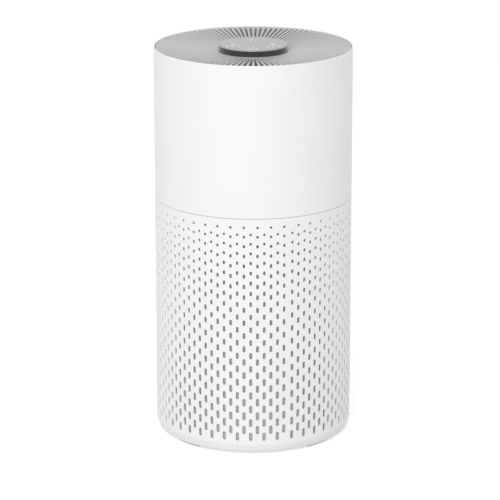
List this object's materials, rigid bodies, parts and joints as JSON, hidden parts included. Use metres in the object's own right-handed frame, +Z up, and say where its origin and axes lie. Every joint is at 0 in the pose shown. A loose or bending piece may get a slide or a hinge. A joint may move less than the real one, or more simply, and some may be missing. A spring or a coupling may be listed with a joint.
{
  "type": "air purifier",
  "caption": "Cylindrical desktop air purifier with a perforated lower shell, a plain upper shell, a finned top outlet and a round touch panel.",
  "frame": {"origin": "centre of the base, on the floor under the rubber feet", "axes": "+Z up along the cylinder's axis; -Y is the front, where the power symbol reads upright; +Y is the back with the power inlet"},
  "size_m": [0.2, 0.2, 0.4018],
  "materials": {
    "white_shell": "fine satin moulded white",
    "white_base": "satin moulded white",
    "grille_grey": "satin moulded grey",
    "panel_grey": "smooth grey panel with printed symbols",
    "panel_dark": "dark satin",
    "dark_plastic": "dark satin",
    "fan_plastic": "satin",
    "net_grey": "fine woven net",
    "filter_net": "white protective net",
    "filter_paper": "pleated filter paper",
    "filter_cap": "satin",
    "carbon": "granular activated carbon in a fleece",
    "foam": "open-cell foam",
    "rubber": "matte",
    "lead_black": "satin",
    "steel": "machined",
    "motor_alloy": "die cast",
    "magnet": "sintered",
    "copper": "enamelled wire",
    "board_green": "solder mask",
    "chip_black": "moulded",
    "guide_white": "frosted",
    "jack_black": "moulded",
    "pin_brass": "plated"
  },
  "bodies": {
    "housing": {"upper_shell": "white_shell", "lower_shell": "white_shell", "net_liner": "net_grey", "bayonet_ring": "dark_plastic", "rubber_feet": "rubber", "fan_deck": "dark_plastic", "deck_screws": "steel", "inlet_guard": "dark_plastic", "bellmouth": "dark_plastic", "bearing_lower": "steel", "bearing_upper": "steel", "motor_base": "motor_alloy", "stator_core": "steel", "stator_coils": "copper", "motor_board": "board_green", "rubber_mounts": "rubber", "motor_screws": "steel", "fan_duct": "dark_plastic", "guide_vanes": "dark_plastic", "outlet_duct": "dark_plastic", "hub_cover": "dark_plastic", "main_board": "board_green", "board_parts": "chip_black", "board_screws": "steel", "outlet_grille": "grille_grey", "control_base": "panel_dark", "control_lens": "panel_grey", "light_guide": "guide_white", "touch_board": "board_green", "panel_parts": "chip_black", "panel_lead": "lead_black", "inlet_plate": "white_shell", "power_jack": "jack_black", "jack_pin": "pin_brass", "jack_nut": "steel", "power_lead": "lead_black"},
    "fan": {"impeller": "fan_plastic", "impeller_shroud": "fan_plastic", "rotor_can": "steel", "rotor_magnet": "magnet", "motor_shaft": "steel", "hub_nut": "steel", "shaft_clip": "steel"},
    "filter": {"filter_bottom_cap": "filter_cap", "filter_top_cap": "filter_cap", "filter_wrap": "filter_net", "filter_media": "filter_paper", "carbon_core": "carbon", "filter_gasket": "foam"},
    "cover": {"bottom_cover": "white_base", "cover_pad": "foam"}
  },
  "joints": [
    {"name": "fan_spin", "type": "hinge", "parent": "housing", "child": "fan", "pos_m": [0, 0, 0.26], "axis": [0, 0, 1], "continuous": true},
    {"name": "filter_pull", "type": "slide", "parent": "housing", "child": "filter", "axis": [0, 0, -1], "range_m": [0, 0.225]},
    {"name": "cover_twist", "type": "hinge", "parent": "filter", "child": "cover", "pos_m": [0, 0, 0.005], "axis": [0, 0, 1], "range_deg": [0, 24]}
  ]
}
